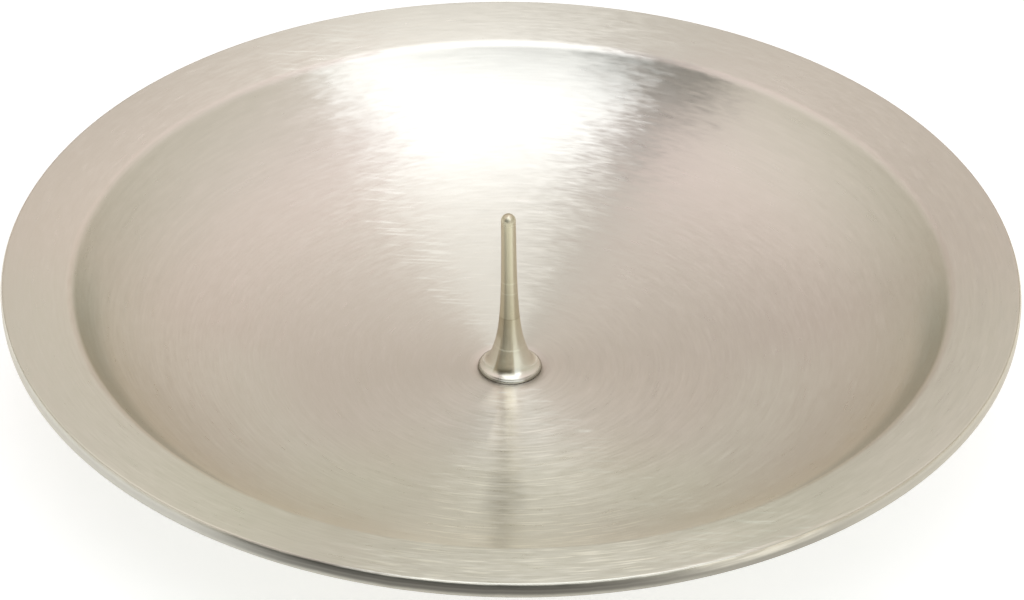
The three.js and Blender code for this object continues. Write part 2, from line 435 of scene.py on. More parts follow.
washer_outline = ring_outline(washer_hole, washer_high.x, washer_low.z, washer_high.z, WASHER_ROUND)
washer_bm = spun(washer_outline, WASHER_STEPS, closed=True)
washer = add_piece("washer_flat", washer_bm, "flat_washer")
washer.data.set_sharp_from_angle(angle=SHARP_FROM)

# %% The spring washer
SPRING_SPLIT = 0.5 * MM
SPRING_STEPS = 72
spring_outline = ring_outline(washer_hole, spring_high.x, spring_low.z, spring_high.z, WASHER_ROUND)
split_angle = 2 * SPRING_SPLIT / (washer_hole + spring_high.x)
spring_bm = bmesh.new()
spring_section = [spring_bm.verts.new((radius, 0, height)) for radius, height in spring_outline]
spring_face = spring_bm.faces.new(spring_section)
half_split = Matrix.Rotation(split_angle / 2, 3, "Z")
bmesh.ops.rotate(spring_bm, cent=(0, 0, 0), matrix=half_split, verts=spring_section)
bmesh.ops.spin(
    spring_bm, geom=spring_bm.verts[:] + spring_bm.edges[:] + [spring_face], cent=(0, 0, 0),
    axis=(0, 0, 1), angle=2 * math.pi - split_angle, steps=SPRING_STEPS, use_merge=False,
)
bmesh.ops.recalc_face_normals(spring_bm, faces=spring_bm.faces[:])
spring = add_piece("washer_spring", spring_bm, "spring_washer")
spring.data.set_sharp_from_angle(angle=SHARP_FROM)

# %% [markdown]
# Three soft pads lift the screw's head off the table and keep the metal from scratching it.
# Each is a disc with a rounded lower edge. Its top is spun flat like the rest, and then each
# of its top vertices is moved up to the bowl's underside, less a film of glue, because the
# bowl slopes there.

# %% The foot pads
PAD_COUNT = 3
PAD_RADIUS = 5.0 * MM
PAD_CIRCLE = 28.0 * MM
PAD_EDGE_ROUND = 0.7 * MM
PAD_STEPS = 64
PAD_SHARP_FROM = math.radians(50)
GLUE_FILM = 0.3 * MM
ABOVE_ROUND = 1.01 * PAD_EDGE_ROUND  # only the top's vertices lie higher


def underside_height(radius):
    return bowl_height(radius) - sheet * math.hypot(1, bowl_slope(radius))


def foot_pad(angle):
    """A soft disc on the table whose top follows the bowl."""
    top = underside_height(PAD_CIRCLE)
    rings = [PAD_RADIUS * share for share in (0.85, 0.6, 0.3)]
    outline = [(0, 0), (PAD_RADIUS * 0.5, 0)]
    outline += arc((PAD_RADIUS - PAD_EDGE_ROUND, PAD_EDGE_ROUND), PAD_EDGE_ROUND, -90, 0, 8)
    outline += [(PAD_RADIUS, top)] + [(radius, top) for radius in rings] + [(0, top)]
    bm = spun(outline, PAD_STEPS)
    centre = (PAD_CIRCLE * math.cos(angle), PAD_CIRCLE * math.sin(angle), 0)
    bmesh.ops.translate(bm, vec=centre, verts=bm.verts[:])
    for vert in bm.verts:
        if vert.co.z > ABOVE_ROUND:
            vert.co.z = underside_height(math.hypot(vert.co.x, vert.co.y)) - GLUE_FILM
    return bm


pads = []
for index in range(PAD_COUNT):
    pad_angle = math.pi / 2 + 2 * math.pi * index / PAD_COUNT
    name = f"foot_pad_{index + 1}"
    pad = add_piece(f"{name}_soft", foot_pad(pad_angle), name)
    pad.data.set_sharp_from_angle(angle=PAD_SHARP_FROM)
    pads.append(pad)

# %% [markdown]
# Materials are made of nodes, and short helpers keep them readable. The first ones make a
# material, add a node and hand back its output.

# %% Helpers for nodes
WHITE = (1, 1, 1, 1)


def new_material(name):
    """A material with its node tree and its shader."""
    material = bpy.data.materials.new(name)
    material.use_nodes = True
    tree = material.node_tree
    shader = next(item for item in tree.nodes if item.type == "BSDF_PRINCIPLED")
    return material, tree, shader


def plug(tree, socket, value):
    """Links a node's output to a socket, or sets the socket to a plain value."""
    if isinstance(value, bpy.types.NodeSocket):
        tree.links.new(value, socket)
    else:
        socket.default_value = value


def maths(tree, operation, *values, clamp=False):
    made = tree.nodes.new("ShaderNodeMath")
    made.operation = operation
    made.use_clamp = clamp
    for socket, value in zip(made.inputs, values):
        plug(tree, socket, value)
    return made.outputs[0]


def vectors(tree, operation, *values, scale=None):
    made = tree.nodes.new("ShaderNodeVectorMath")
    made.operation = operation
    for socket, value in zip(made.inputs, values):
        plug(tree, socket, value)
    if scale is not None:
        plug(tree, made.inputs["Scale"], scale)
    return made.outputs["Value" if operation == "DOT_PRODUCT" else "Vector"]


def combine(tree, x, y, z):
    made = tree.nodes.new("ShaderNodeCombineXYZ")
    for socket, value in zip(made.inputs, (x, y, z)):
        plug(tree, socket, value)
    return made.outputs[0]


def separate(tree, vector):
    made = tree.nodes.new("ShaderNodeSeparateXYZ")
    tree.links.new(vector, made.inputs[0])
    return made.outputs


# %% [markdown]
# The next ones shape numbers: sums and products, a straight or a soft change from one value
# to another, a band, noise, and ramps that follow a value through stops.

# %% Helpers for numbers and colours


def total(tree, *parts):
    """Adds up (value, weight) pairs."""
    result = 0.0
    for value, weight in parts:
        result = maths(tree, "ADD", result, maths(tree, "MULTIPLY", value, weight))
    return result


def product(tree, first, *others):
    for other in others:
        first = maths(tree, "MULTIPLY", first, other)
    return first


def spread(tree, value, low, high, to_low=0.0, to_high=1.0, smooth=False):
    """A straight change from to_low, where the value is low, to to_high."""
    made = tree.nodes.new("ShaderNodeMapRange")
    made.interpolation_type = "SMOOTHSTEP" if smooth else "LINEAR"
    for socket, item in zip(made.inputs, (value, low, high, to_low, to_high)):
        plug(tree, socket, item)
    return made.outputs[0]


def fade(tree, value, low, high, to_low=0.0, to_high=1.0):
    """The same change with a soft start and end."""
    return spread(tree, value, low, high, to_low, to_high, smooth=True)


def band(tree, value, low, low_full, high_full, high):
    """1 between two distances, and 0 before and past them."""
    return product(tree, fade(tree, value, low, low_full), fade(tree, value, high_full, high, 1.0, 0.0))


def noise(tree, vector, scale=1.0, detail=2.0):
    """Noise about zero, mostly between -0.25 and 0.25."""
    made = tree.nodes.new("ShaderNodeTexNoise")
    plug(tree, made.inputs["Vector"], vector)
    made.inputs["Scale"].default_value = scale
    made.inputs["Detail"].default_value = detail
    made.inputs["Roughness"].default_value = 0.5
    return maths(tree, "SUBTRACT", made.outputs["Fac"], 0.5)


def blend_colours(tree, share, first, second):
    made = tree.nodes.new("ShaderNodeMix")
    made.data_type = "RGBA"
    plug(tree, made.inputs[0], share)
    plug(tree, made.inputs[6], first)
    plug(tree, made.inputs[7], second)
    return made.outputs[2]


def ramp(tree, value, stops):
    """A colour ramp over (position, colour) stops."""
    made = tree.nodes.new("ShaderNodeValToRGB")
    tree.links.new(value, made.inputs[0])
    elements = made.color_ramp.elements
    while len(elements) < len(stops):
        elements.new(0.5)
    for element, (position, colour) in zip(elements, stops):
        element.position = position
        element.color = (*colour, 1)
    return made.outputs[0]


def grey_ramp(tree, value, stops):
    """One number that follows a value through (position, number) stops."""
    return separate(tree, ramp(tree, value, [(place, (grey, grey, grey)) for place, grey in stops]))[0]


# %% [markdown]
# The last ones belong to turned metal. Every pattern reads Object coordinates, which on this
# object are metres from the middle of the table. Fine grooves lean the surface's normal, and
# they spread the shine across themselves.

# %% Helpers for turned metal
QUARTER_TURN = 0.25  # the shader counts in whole turns
NEAR_AXIS = 0.0001  # on the axis itself no direction is outward


def object_place(tree):
    return tree.nodes.new("ShaderNodeTexCoord").outputs["Object"]


def turned_frame(tree):
    """A point round the Z axis: x, y, z, radius, the outward and the round-going directions."""
    x, y, z = separate(tree, object_place(tree))
    radius = maths(tree, "SQRT", total(tree, (x, x), (y, y)))
    inverse = maths(tree, "DIVIDE", 1.0, maths(tree, "MAXIMUM", radius, NEAR_AXIS))
    out_x, out_y = product(tree, x, inverse), product(tree, y, inverse)
    outward = combine(tree, out_x, out_y, 0.0)
    around = combine(tree, product(tree, out_y, -1.0), out_x, 0.0)
    return x, y, z, radius, outward, around


def tilt(tree, shader, *leans):
    """Leans the surface's normal by (direction, amount) pairs, as fine grooves do."""
    normal = tree.nodes.new("ShaderNodeNewGeometry").outputs["Normal"]
    for direction, amount in leans:
        normal = vectors(tree, "ADD", normal, vectors(tree, "SCALE", direction, scale=amount))
    tree.links.new(vectors(tree, "NORMALIZE", normal), shader.inputs["Normal"])


def grain_along(tree, shader, amount, direction):
    """Fine grooves that run along a direction: the shine spreads across them."""
    shader.inputs["Anisotropic"].default_value = amount
    shader.inputs["Anisotropic Rotation"].default_value = QUARTER_TURN
    tree.links.new(direction, shader.inputs["Tangent"])


def facing(turn, outer, inner):
    """How nearly a place lies in one direction from the middle, in degrees clockwise from the
    back: 1 within `inner` degrees of it, and 0 past `outer`. It reads the `tree` and the
    `outward` direction of the material that is being made."""
    direction = (math.sin(math.radians(turn)), math.cos(math.radians(turn)), 0.0)
    along = vectors(tree, "DOT_PRODUCT", outward, direction)
    return fade(tree, along, math.cos(math.radians(outer)), math.cos(math.radians(inner)))


# %% [markdown]
# The dish is finished on the lathe with an abrasive pad, which leaves short fine strokes that
# all run round the middle. Such grooves spread the shine across themselves and hardly along
# themselves, and that is why the light stands on the metal in two bright fans. The shader's
# anisotropy gives the fans. The strokes themselves are noise, stretched round the middle, that
# leans the normal a little and varies colour and roughness. The first two numbers of a stroke
# say how many strokes there are to the metre, across and along, and the third only moves the
# pattern, so that no two are alike.

# %% Brushed nickel
brushed, tree, shader = new_material("brushed_nickel")
x, y, z, radius, outward, around = turned_frame(tree)


def strokes(across, along, shift, detail=2.0):
    """Noise in strokes that run round the middle of the dish."""
    outwards = total(tree, (radius, across), (shift, 1.0))
    place = combine(tree, outwards, product(tree, x, along), product(tree, y, along))
    return noise(tree, place, detail=detail)


fine = strokes(2300.0, 330.0, 0.0)
long = strokes(800.0, 90.0, 31.0)
side_fine = strokes(2500.0, 420.0, 57.0)
side_long = strokes(1000.0, 160.0, 83.0)
hairs = strokes(3300.0, 120.0, 47.0, detail=1.0)
rise_out = total(tree, (fine, 0.13), (long, 0.07), (hairs, 0.09))
rise_round = total(tree, (side_fine, 0.10), (side_long, 0.05))
print(f"{brushed.name}: {len(tree.nodes)} nodes for the strokes")

# %% [markdown]
# Some strokes don't follow the ring but run straight across. They show as fine bright hairs
# beside the fans, because they catch the light that the rings miss, and they are also painted
# a little paler, a painted glint. Where such a stroke passes, the direction of the grain is
# turned towards it. Their noise reads depth and height together, so that they stay fine up the
# walls. In front, a few hairs that do follow the ring are painted paler, as painted glints of
# the bright fan. Only the upper face has both, so the upward part of the surface's direction
# lets them fade at the lip and keeps the underside free.

# %% Strokes that run across
PLATE_GRAIN = 0.9
CROSS_PULL = (8.0, 0.0, 0.0)  # how strongly a stroke across turns the grain
surface_up = separate(tree, tree.nodes.new("ShaderNodeNewGeometry").outputs["Normal"])[2]
upper_face = fade(tree, surface_up, 0.25, 0.60)
near_line = maths(tree, "ADD", facing(350, 26, 10), facing(172, 31, 14))
on_bowl = fade(tree, radius, 30 * MM, 50 * MM, 1.0, 0.40)
back_and_up = total(tree, (y, 2300.0), (z, 1500.0))
cross = noise(tree, combine(tree, product(tree, x, 140.0), back_and_up, 9.0), detail=1.0)
cross = product(tree, near_line, on_bowl, fade(tree, cross, 0.09, 0.20, 0.0, 0.85), upper_face)
# painted glints: paler hairs in front, in the bright fan
hair_glints = fade(tree, strokes(3200.0, 150.0, 12.0, detail=1.0), 0.05, 0.20)
hair_glints = product(tree, facing(176, 25, 9), upper_face, hair_glints)
one_way = vectors(tree, "SCALE", around, scale=maths(tree, "SIGN", separate(tree, around)[0]))
run = vectors(tree, "ADD", one_way, vectors(tree, "SCALE", CROSS_PULL, scale=cross))
grain_along(tree, shader, PLATE_GRAIN, vectors(tree, "NORMALIZE", run))
print(f"{brushed.name}: {len(tree.nodes)} nodes with the strokes across")

# %% [markdown]
# The lip has the rim's tone, but at the front, left of the middle, it is painted dark under
# the edge, a painted reflection of the dark open front, and on the front right hands have
# rubbed the edge a little rounder and a painted highlight lies on it. Both painted tones follow
# the depth below the edge, and noise makes their borders uneven. Elsewhere the lip is painted
# darker as it gets lower, painted shade in place of the white floor that it mirrors there, and a
# little darker still low on the front right. The stops pair a depth, as a share of the lip, with
# a brightness.

# %% The lip's painted dark reflection, its painted highlight and the rubbed edge
# painted reflection: the lip dark under the edge at the front left, standing for the mirrored dark open
# front
DARK_LIP_STOPS = [
    (0.0, 1.0), (0.06, 0.85), (0.12, 0.27), (0.33, 0.15), (0.45, 0.25), (0.58, 0.21),
    (0.69, 0.26), (0.81, 0.50), (0.92, 0.70),
]
# painted shade: elsewhere the lip is darker as it gets lower
LOWER_LIP_SHADE_STOPS = [(0.10, 0.94), (0.19, 0.80), (0.29, 0.715), (0.39, 0.66), (0.50, 0.64), (1.0, 0.68)]
DARKEST_TURN = 186
RUBBED_TURN = 152
LOW_RIGHT_TURN = 157
wander = noise(tree, combine(tree, x, y, 0.0), scale=220.0)
below = maths(tree, "DIVIDE", maths(tree, "SUBTRACT", edge_height, z), LIP_DROP)
below = total(tree, (below, 1.0), (wander, 0.14))
on_lip = fade(tree, radius, edge_radius + 0.02 * MM, edge_radius + 0.08 * MM)
upper_half = fade(tree, below, 0.35, 0.65, 1.0, 0.0)
down_edge = total(tree, (z, 2200.0), (radius, 2200.0))
scuffs = noise(tree, combine(tree, down_edge, product(tree, x, 130.0), product(tree, y, 130.0)))
scuffed = fade(tree, scuffs, -0.10, 0.08, 0.35, 1.0)
# painted highlight on the upper lip at the front right, broken up by scuffs
painted_lip_highlight = product(tree, facing(RUBBED_TURN, 10, 3), upper_half, scuffed)
# the lower lip is made darker on the front right
darker_low_right = product(tree, facing(LOW_RIGHT_TURN, 20, 8), maths(tree, "SUBTRACT", 1.0, upper_half))
# painted reflection of the dark open front under the lip's edge
painted_dark_lip = grey_ramp(tree, below, DARK_LIP_STOPS)
painted_lip_light = total(tree, (grey_ramp(tree, below, LOWER_LIP_SHADE_STOPS), 1.0), (painted_lip_highlight, 0.36), (darker_low_right, -0.14))
lip_shade = spread(tree, facing(DARKEST_TURN, 33, 9), 0.0, 1.0, painted_lip_light, painted_dark_lip)
edge_shade = spread(tree, on_lip, 0.0, 1.0, 1.0, lip_shade)
near_edge = fade(tree, radius, edge_radius - 0.7 * MM, edge_radius - 0.1 * MM)
rubbed = product(tree, facing(RUBBED_TURN, 13, 4), near_edge, scuffed)
tilt(tree, shader, (outward, total(tree, (rise_out, 1.0), (rubbed, 0.55))), (around, rise_round))
print(f"{brushed.name}: {len(tree.nodes)} nodes with the lip")

# %% [markdown]
# The whole plate is one warm grey, and what changes it is small. First come the changes of
# brightness: the strokes, with painted glints on the paler hairs; a painted brighter rim, most
# of all on the left and least in front; a painted highlight in front of the spike's foot, where
# the plate mirrors the flare, that trails off forwards; and a painted dark streak further on, a
# widened painted reflection of the spike.

# %% The metal's brightness
left_side, front_side = facing(248, 65, 15), facing(175, 55, 15)
outer_rim = fade(tree, radius, edge_radius - 4 * MM, edge_radius - 1 * MM)
outer_front = product(tree, facing(166, 30, 10), outer_rim)
# painted light: the rim brighter, most on the left, duller in front and at its outer front
painted_rim_light = total(tree, (left_side, 0.10), (front_side, -0.06), (outer_front, -0.08), (1.0, 1.03))
on_rim = fade(tree, radius, crease_radius - 0.8 * MM, crease_radius + 0.8 * MM, 0.985, painted_rim_light)
hair_glint_weight = spread(tree, radius, 20 * MM, 36 * MM, 0.16, 0.24)
# painted glints: the paler hairs and the strokes across are painted lighter
stroke_shade = total(
    tree, (1.0, 1.0), (fine, 0.05), (long, 0.04), (hairs, 0.06), (hair_glints, hair_glint_weight), (cross, 0.06),
)
# painted highlight in front of the foot, where the plate mirrors the flare, and its trail; then a painted
# dark streak for the spike's widened reflection
painted_foot_highlight = product(tree, facing(189, 19, 4), fade(tree, radius, 8 * MM, 12.5 * MM, 0.28, 0.0))
painted_highlight_trail = product(tree, facing(184.5, 6, 2), band(tree, radius, 9 * MM, 12 * MM, 17 * MM, 21 * MM))
painted_spike_reflection = product(tree, facing(180.8, 6.3, 2), band(tree, radius, 24 * MM, 29 * MM, 35 * MM, 40 * MM))
front_painted_light = total(tree, (painted_foot_highlight, 1.0), (painted_highlight_trail, 0.17), (painted_spike_reflection, -0.14))
front_painted_factor = maths(tree, "ADD", product(tree, front_painted_light, upper_face), 1.0)
shade = product(tree, on_rim, front_painted_factor, stroke_shade, edge_shade)
print(f"{brushed.name}: {len(tree.nodes)} nodes with its brightness")

# %% [markdown]
# Then the changes of colour: a yellower front and lip, and on both near sides a slightly
# greener wall and rim, with a band of painted shade right under the crease.

# %% The metal's colour
NICKEL = (0.775, 0.745, 0.69, 1)
GREENER_WALL = (0.80, 0.80, 0.735, 1)
GREENER_RIM = (0.76, 0.761, 0.695, 1)
YELLOWER_TINT = (0.995, 1.004, 0.962, 1)
LIP_METAL = (0.775, 0.74, 0.635, 1)
LEFT_LIP_METAL = (0.745, 0.735, 0.667, 1)
CREASE_SHADE_COLOUR = (0.57, 0.60, 0.55, 1)
NICKEL_SHINE = (1.0, 0.96, 0.90, 1)
PLATE_ROUGHNESS = 0.30
both_sides = maths(tree, "ADD", facing(122, 42, 18), facing(238, 42, 18))
on_wall = product(tree, both_sides, fade(tree, radius, 26 * MM, 38 * MM))
wall_metal = blend_colours(tree, on_wall, NICKEL, GREENER_WALL)
rim_metal = blend_colours(tree, both_sides, NICKEL, GREENER_RIM)
past_crease = spread(tree, radius, crease_radius, crease_radius + 1 * MM)
metal = blend_colours(tree, past_crease, wall_metal, rim_metal)
near_front = product(tree, facing(180, 57, 25), fade(tree, radius, 14 * MM, 30 * MM))
metal = vectors(tree, "MULTIPLY", metal, blend_colours(tree, near_front, WHITE, YELLOWER_TINT))
metal = blend_colours(tree, on_lip, metal, blend_colours(tree, left_side, LIP_METAL, LEFT_LIP_METAL))
# painted shade: a darker band just inside the crease on both near sides
under_crease = band(
    tree, radius, crease_radius - 5.5 * MM, crease_radius - 2 * MM, crease_radius - 0.8 * MM, crease_radius,
)
metal = blend_colours(tree, product(tree, under_crease, both_sides), metal, CREASE_SHADE_COLOUR)
tree.links.new(vectors(tree, "SCALE", metal, scale=shade), shader.inputs["Base Color"])
shader.inputs["Metallic"].default_value = 1
shader.inputs["Specular Tint"].default_value = NICKEL_SHINE
dullness = total(tree, (PLATE_ROUGHNESS, 1.0), (fine, 0.10), (long, 0.06))
tree.links.new(dullness, shader.inputs["Roughness"])
dish.data.materials.append(brushed)
print(f"{brushed.name}: {len(tree.nodes)} nodes in all")

# %% [markdown]
# The spike is polished after turning, so it mirrors the room more sharply than the plate and
# keeps only faint turning rings and a few clear tool marks.

# %% Polished nickel
PALE_MARKS_AT = (4.0, 12.8, 14.5)  # millimetres above the seat
DARK_MARKS_AT = (8.7,)
MARK_REACH = 0.16 * MM
SPIKE_GRAIN = 0.6
polished, tree, shader = new_material("polished_nickel")
x, y, z, radius, outward, around = turned_frame(tree)
climb = maths(tree, "SUBTRACT", z, seat_top)
rings = noise(tree, combine(tree, 0.0, 0.0, product(tree, z, 2500.0)), detail=3.0)
patches = noise(tree, combine(tree, x, y, z), scale=350.0)


def ring_marks(heights):
    """Thin rings round the spike."""
    marks = 0.0
    for mark in heights:
        away = maths(tree, "ABSOLUTE", maths(tree, "SUBTRACT", climb, mark * MM))
        marks = maths(tree, "ADD", marks, fade(tree, away, 0.0, MARK_REACH, 1.0, 0.0))
    return marks


pale_marks, dark_marks = ring_marks(PALE_MARKS_AT), ring_marks(DARK_MARKS_AT)
marks = maths(tree, "ADD", pale_marks, dark_marks)
upright = combine(tree, 0.0, 0.0, 1.0)
tilt(tree, shader, (upright, total(tree, (rings, 0.10), (marks, 0.12), (patches, 0.06))))
grain_along(tree, shader, SPIKE_GRAIN, around)
print(f"{polished.name}: {len(tree.nodes)} nodes for rings and marks")

# %% [markdown]
# Its stem has yellowed a little where hands and wax touch it. The front of the flare is
# painted darker, a painted reflection of the dark open front, with rather crisp sides, strong up
# to one of the tool marks and faint above it. Painted shade lies round the flange's lower edge,
# lighter in front, and in front a painted shade on the flange's edge reaches over onto its top.

# %% The spike's painted dark reflection and painted edge shade
SPIKE_NICKEL = (0.77, 0.745, 0.67, 1)
YELLOWED = (0.68, 0.63, 0.49, 1)
PAINTED_DARK_REFLECTION = (0.38, 0.32, 0.225, 1)
PALE_MARK = (0.85, 0.82, 0.70, 1)
DARK_MARK = (0.38, 0.33, 0.24, 1)
FLANGE_EDGE_SHADE = (0.34, 0.325, 0.28, 1)
SPIKE_SHINE = (0.85, 0.83, 0.78, 1)
SPIKE_ROUGHNESS = 0.24
DARK_REFLECTION_TOP = 18.0  # millimetres above the seat
DARK_REFLECTION_STOPS = [
    (0.7, 0.0), (1.2, 0.82), (3.0, 0.82), (4.4, 0.50), (8.6, 0.45), (8.9, 0.18), (DARK_REFLECTION_TOP, 0.0),
]
age = fade(tree, climb, 2.0 * MM, 9.0 * MM)
age = maths(tree, "ADD", age, product(tree, patches, 0.6), clamp=True)
metal = blend_colours(tree, age, SPIKE_NICKEL, YELLOWED)
# painted reflection: the flare's front darker, standing for the mirrored dark open front
dark_reflection_shares = [(height / DARK_REFLECTION_TOP, depth) for height, depth in DARK_REFLECTION_STOPS]
painted_dark_reflection = grey_ramp(tree, maths(tree, "DIVIDE", climb, DARK_REFLECTION_TOP * MM), dark_reflection_shares)
dark_reflection_side = fade(tree, climb, 5 * MM, 6 * MM, facing(196, 31, 24), facing(222, 60, 42))
dark_reflection_side = spread(tree, climb, 8.6 * MM, 8.9 * MM, dark_reflection_side, 1.0)
painted_dark_reflection = product(tree, dark_reflection_side, total(tree, (1.0, 1.0), (patches, 1.0)), painted_dark_reflection)
metal = blend_colours(tree, painted_dark_reflection, metal, PAINTED_DARK_REFLECTION)
metal = blend_colours(tree, product(tree, pale_marks, 0.50), metal, PALE_MARK)
metal = blend_colours(tree, product(tree, dark_marks, 0.45), metal, DARK_MARK)
# painted shade round the flange's lower edge, less in front, and on its front edge
less_shade_front = maths(tree, "ADD", product(tree, facing(180, 32, 12), -0.55), 1.0)
under_edge_shade = product(
    tree,
    fade(tree, climb, 0.32 * MM, 0.60 * MM, 1.0, 0.0),
    fade(tree, radius, FLANGE_RADIUS - 0.34 * MM, FLANGE_RADIUS - 0.20 * MM),
    less_shade_front,
)
front_edge_shade = product(
    tree,
    fade(tree, climb, 0.50 * MM, 0.80 * MM, 0.72, 0.0),
    fade(tree, radius, FLANGE_RADIUS - 0.48 * MM, FLANGE_RADIUS - 0.32 * MM),
    facing(176, 52, 30),
)
metal = blend_colours(tree, maths(tree, "MAXIMUM", under_edge_shade, front_edge_shade), metal, FLANGE_EDGE_SHADE)
tree.links.new(metal, shader.inputs["Base Color"])
shader.inputs["Metallic"].default_value = 1
shader.inputs["Specular Tint"].default_value = SPIKE_SHINE
worn_tip = fade(tree, climb, 23.5 * MM, 24.6 * MM, 0.0, 0.12)
dullness = total(tree, (SPIKE_ROUGHNESS, 1.0), (patches, 0.15), (rings, 0.08), (worn_tip, 1.0))
tree.links.new(dullness, shader.inputs["Roughness"])
pricket.data.materials.append(polished)
print(f"{polished.name}: {len(tree.nodes)} nodes in all")

# %% [markdown]
# Screw and washers are steel with a thin zinc coat: pale, a little blue, and cloudy where the
# coat lies thicker. The pads are dark soft rubber with a dry, fine-grained skin.

# %% Zinc-coated steel
ZINC_DARK, ZINC_PALE = (0.52, 0.54, 0.57, 1), (0.70, 0.71, 0.70, 1)
ZINC_ROUGHNESS = 0.34
zinc, tree, shader = new_material("zinc_steel")
*_, outward, around = turned_frame(tree)
cloud = noise(tree, object_place(tree), scale=900.0)
speck = noise(tree, object_place(tree), scale=6000.0)
metal = blend_colours(tree, spread(tree, cloud, -0.2, 0.2), ZINC_DARK, ZINC_PALE)
tree.links.new(metal, shader.inputs["Base Color"])
shader.inputs["Metallic"].default_value = 1
dullness = total(tree, (ZINC_ROUGHNESS, 1.0), (cloud, 0.3), (speck, 0.2))
tree.links.new(dullness, shader.inputs["Roughness"])
tilt(tree, shader, (outward, product(tree, speck, 0.10)), (around, product(tree, cloud, 0.05)))
for piece in (screw, washer, spring):
    piece.data.materials.append(zinc)
print(f"{zinc.name}: {len(tree.nodes)} nodes")

# %% Pad rubber
RUBBER_DARK, RUBBER_DUSTY = (0.030, 0.028, 0.026, 1), (0.065, 0.060, 0.055, 1)
RUBBER_ROUGHNESS = 0.78
GRAIN_DEPTH = 0.1 * MM
rubber, tree, shader = new_material("pad_rubber")
grain = noise(tree, object_place(tree), scale=3000.0, detail=3.0)
dust = noise(tree, object_place(tree), scale=260.0)
shade = spread(tree, total(tree, (grain, 0.5), (dust, 1.0)), -0.25, 0.25)
tree.links.new(blend_colours(tree, shade, RUBBER_DARK, RUBBER_DUSTY), shader.inputs["Base Color"])
tree.links.new(total(tree, (RUBBER_ROUGHNESS, 1.0), (grain, 0.3)), shader.inputs["Roughness"])
bump = tree.nodes.new("ShaderNodeBump")
bump.inputs["Strength"].default_value = 0.35
bump.inputs["Distance"].default_value = GRAIN_DEPTH
tree.links.new(grain, bump.inputs["Height"])
tree.links.new(bump.outputs["Normal"], shader.inputs["Normal"])
for pad in pads:
    pad.data.materials.append(rubber)
print(f"{rubber.name}: {len(tree.nodes)} nodes")

# %% [markdown]
# The plate lies on a plain white floor. A matt white surface would render a little under
# white, so for the camera, and for whatever the metal mirrors, a little of white is added to
# it, and the plate's own shadow stays. From below the floor is clear, so that the underside
# with its screw and pads can be looked at.

# %% Floor
FLOOR_RADIUS = 6
FLOOR_DROP = 0.02 * MM
FLOOR_WHITE = (0.62, 0.62, 0.62, 1)
FLOOR_LIFT = 0.58  # the white that is added
FLOOR_STEPS = 96
floor_bm = bmesh.new()
bmesh.ops.create_circle(floor_bm, cap_ends=True, segments=FLOOR_STEPS, radius=FLOOR_RADIUS)
bmesh.ops.translate(floor_bm, vec=(0, 0, -FLOOR_DROP), verts=floor_bm.verts[:])
floor_mesh = bpy.data.meshes.new("floor")
floor_bm.to_mesh(floor_mesh)
floor_bm.free()
floor = bpy.data.objects.new("floor", floor_mesh)
bpy.context.scene.collection.objects.link(floor)
print(f"floor {2 * FLOOR_RADIUS} m across")

# %% The floor's white
floor_material, tree, shader = new_material("pale_floor")
shader.inputs["Base Color"].default_value = FLOOR_WHITE
shader.inputs["Roughness"].default_value = 0.9
shader.inputs["Specular IOR Level"].default_value = 0.1
shader.inputs["Emission Color"].default_value = WHITE
ray = tree.nodes.new("ShaderNodeLightPath").outputs
seen = maths(tree, "MAXIMUM", ray["Is Camera Ray"], ray["Is Glossy Ray"])
seen = maths(tree, "MAXIMUM", seen, ray["Is Transmission Ray"])
tree.links.new(product(tree, seen, FLOOR_LIFT), shader.inputs["Emission Strength"])
glass = tree.nodes.new("ShaderNodeBsdfTransparent")
either = tree.nodes.new("ShaderNodeMixShader")
from_below = tree.nodes.new("ShaderNodeNewGeometry").outputs["Backfacing"]
tree.links.new(from_below, either.inputs[0])
tree.links.new(shader.outputs[0], either.inputs[1])
tree.links.new(glass.outputs[0], either.inputs[2])
outlet = next(item for item in tree.nodes if item.type == "OUTPUT_MATERIAL")
tree.links.new(either.outputs[0], outlet.inputs["Surface"])
floor.data.materials.append(floor_material)
print(f"{floor_material.name}: {len(tree.nodes)} nodes")

# %% [markdown]
# A brushed bowl shows its studio like a fan-shaped mirror, so the light matters as much as
# the metal. The photograph tells what stood round it: a warm pale tent, a bright panel
# overhead that reaches forwards to the right and narrows to a strip behind, and a dark gap
# beside it that runs down to the front left. The world paints these in a few soft shapes,
# by direction alone, so no lamp adds a highlight of its own. The camera itself sees white
# there, as in the photograph.
#
# The tent changes with the height, and its tint with how far a direction points sideways.

# %% The tent
TENT_STOPS = [
    (0.0, (0.52, 0.50, 0.44)), (0.15, (0.57, 0.545, 0.48)), (0.35, (0.65, 0.62, 0.55)),
    (0.70, (0.782, 0.757, 0.72)), (0.94, (0.885, 0.868, 0.86)),
]
SIDE_TINTS = [
    (0.03, (0.97, 0.99, 0.95)), (0.17, (1.085, 0.957, 0.95)), (0.32, (1.085, 0.96, 0.95)),
    (0.52, (1.03, 0.978, 0.95)), (0.85, (0.99, 0.99, 0.945)),
]
world = bpy.data.worlds.new("studio")
bpy.context.scene.world = world
world.use_nodes = True
tree = world.node_tree
background = tree.nodes["Background"]
direction = tree.nodes.new("ShaderNodeTexCoord").outputs["Generated"]
to_right, to_back, to_up = separate(tree, direction)
side_tint = ramp(tree, maths(tree, "ABSOLUTE", to_right), SIDE_TINTS)
tent = vectors(tree, "MULTIPLY", ramp(tree, to_up, TENT_STOPS), side_tint)
print(f"{world.name}: {len(tree.nodes)} nodes for the tent")

# %% [markdown]
# The panel is a fan as well. Its tip lies where a level place on the metal mirrors to, seen
# from the camera. From there it opens forwards, and its two edges are angles in degrees,
# which change with the reach, the distance from the tip. Its light changes with the reach
# too. It is brighter than white, and a ramp ends at 1, so the ramp holds half of the reach
# and half of the light.

